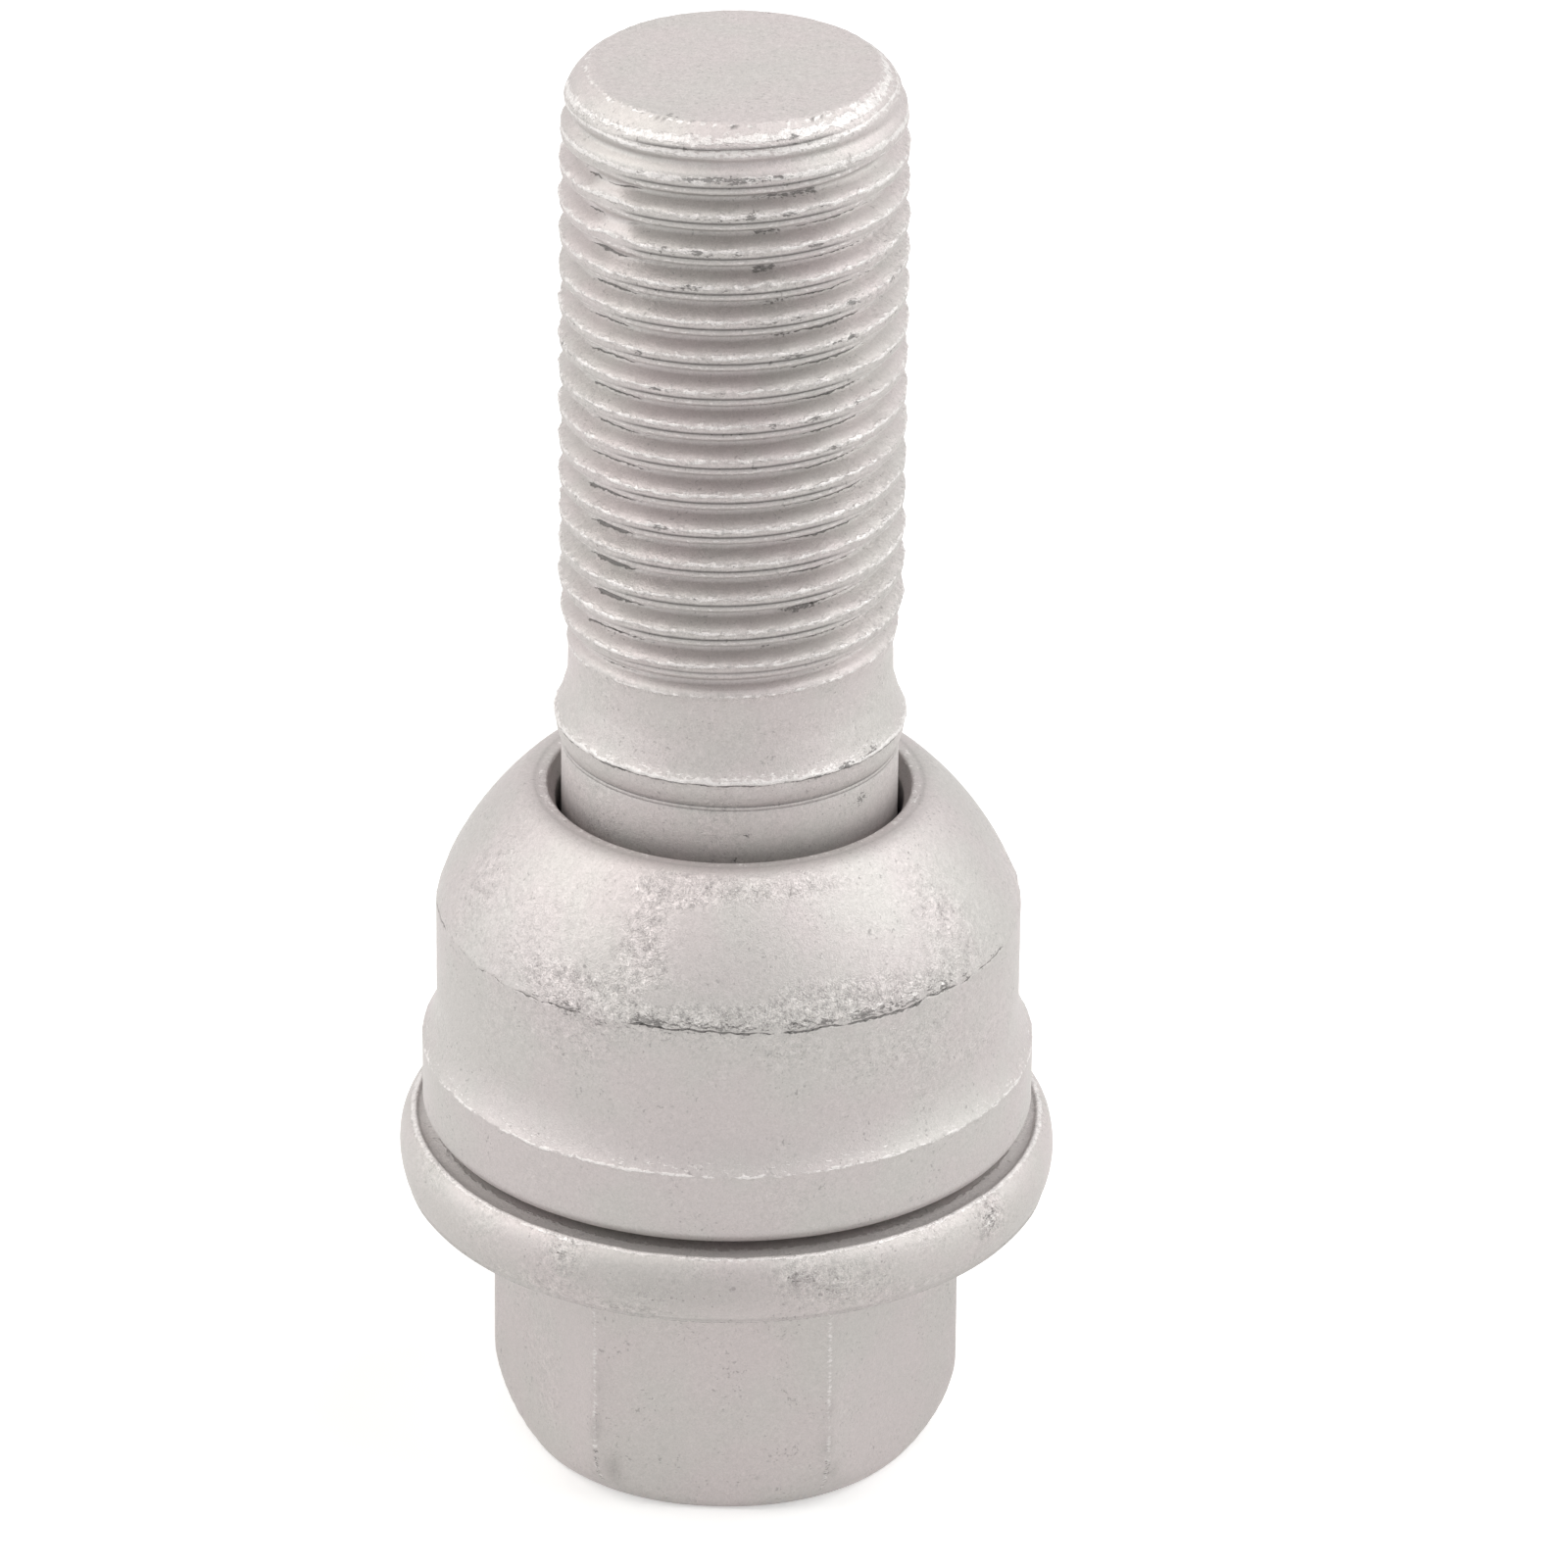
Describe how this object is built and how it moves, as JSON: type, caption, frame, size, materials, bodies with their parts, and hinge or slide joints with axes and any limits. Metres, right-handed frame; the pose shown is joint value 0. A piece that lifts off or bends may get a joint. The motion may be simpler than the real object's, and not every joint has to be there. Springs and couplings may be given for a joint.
{
  "type": "wheel bolt",
  "caption": "Forged wheel bolt with a hexagon head, a flange and a right-hand thread, carrying a loose ball-seat collar that turns on its shank.",
  "frame": {"origin": "centre of the flat end face of the hexagon head, which the bolt stands on", "axes": "+Z along the bolt's axis, from the head to the thread's tip; a flat of the hexagon faces -Y"},
  "size_m": [0.0272, 0.0272, 0.061],
  "materials": {
    "bolt_steel": "matt pale grey flake coating on forged steel",
    "collar_steel": "matt pale grey flake coating on forged steel"
  },
  "bodies": {
    "bolt": {"wheel_bolt": "bolt_steel"},
    "collar": {"seat_collar": "collar_steel"}
  },
  "joints": [
    {"name": "collar_spin", "type": "hinge", "parent": "bolt", "child": "collar", "pos_m": [0, 0, 0.022], "axis": [0, 0, 1], "continuous": true}
  ]
}
